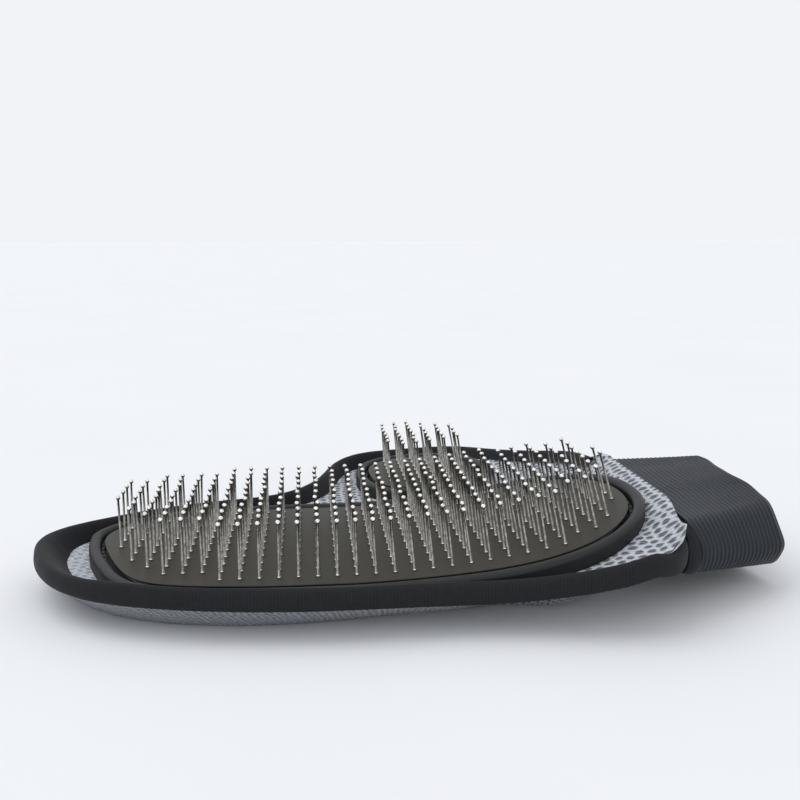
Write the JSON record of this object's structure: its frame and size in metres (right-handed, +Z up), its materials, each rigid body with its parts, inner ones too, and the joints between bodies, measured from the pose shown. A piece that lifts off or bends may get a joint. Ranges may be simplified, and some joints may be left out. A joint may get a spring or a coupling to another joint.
{
  "type": "grooming glove",
  "caption": "Pet grooming mitt with a thumb, an elastic cuff and two soft rubber cushions of ball-tipped steel pins on its palm.",
  "frame": {"origin": "on the surface that the glove lies on, under the middle of its outline", "axes": "+X from the fingertips to the wrist, +Y from the little finger side to the thumb side, +Z up out of the palm"},
  "size_m": [0.22, 0.1748, 0.0399],
  "materials": {
    "air_mesh": "matte",
    "edge_tape": "matte",
    "ribbed_elastic": "satin",
    "cushion_rubber": "satin",
    "foam": "matte",
    "lock_sheet": "matte",
    "thread": "matte",
    "steel_pins": "polished"
  },
  "bodies": {
    "mitt": {"hand_palm_panel": "air_mesh", "hand_back_panel": "air_mesh", "hand_binding": "edge_tape", "wrist_seam_tape": "edge_tape", "elastic_cuff": "ribbed_elastic", "main_rim": "cushion_rubber", "main_stitching": "thread", "main_foam": "foam"},
    "main_cushion": {"main_membrane": "cushion_rubber", "main_pin_lock_sheet": "lock_sheet", "main_pin_row_01": "steel_pins", "main_pin_row_02": "steel_pins", "main_pin_row_03": "steel_pins", "main_pin_row_04": "steel_pins", "main_pin_row_05": "steel_pins", "main_pin_row_06": "steel_pins", "main_pin_row_07": "steel_pins", "main_pin_row_08": "steel_pins", "main_pin_row_09": "steel_pins", "main_pin_row_10": "steel_pins", "main_pin_row_11": "steel_pins"},
    "thumb": {"thumb_palm_panel": "air_mesh", "thumb_back_panel": "air_mesh", "thumb_binding": "edge_tape", "thumb_rim": "cushion_rubber", "thumb_stitching": "thread", "thumb_foam": "foam"},
    "thumb_cushion": {"thumb_membrane": "cushion_rubber", "thumb_pin_lock_sheet": "lock_sheet", "thumb_pin_row_01": "steel_pins", "thumb_pin_row_02": "steel_pins", "thumb_pin_row_03": "steel_pins", "thumb_pin_row_04": "steel_pins", "thumb_pin_row_05": "steel_pins", "thumb_pin_row_06": "steel_pins", "thumb_pin_row_07": "steel_pins"}
  },
  "joints": [
    {"name": "main_cushion_press", "type": "slide", "parent": "mitt", "child": "main_cushion", "axis": [-0.1392, 0, 0.9903], "range_m": [-0.0018, 0], "stiffness_N_per_m": 3000},
    {"name": "thumb_fold", "type": "hinge", "parent": "mitt", "child": "thumb", "pos_m": [-0.0385, 0.0202, 0.0072], "axis": [0.9877, -0.086, 0.1308], "range_deg": [0, 60], "stiffness_Nm_per_rad": 0.15},
    {"name": "thumb_cushion_press", "type": "slide", "parent": "thumb", "child": "thumb_cushion", "axis": [-0.1219, 0, 0.9925], "range_m": [-0.0018, 0], "stiffness_N_per_m": 1500}
  ]
}
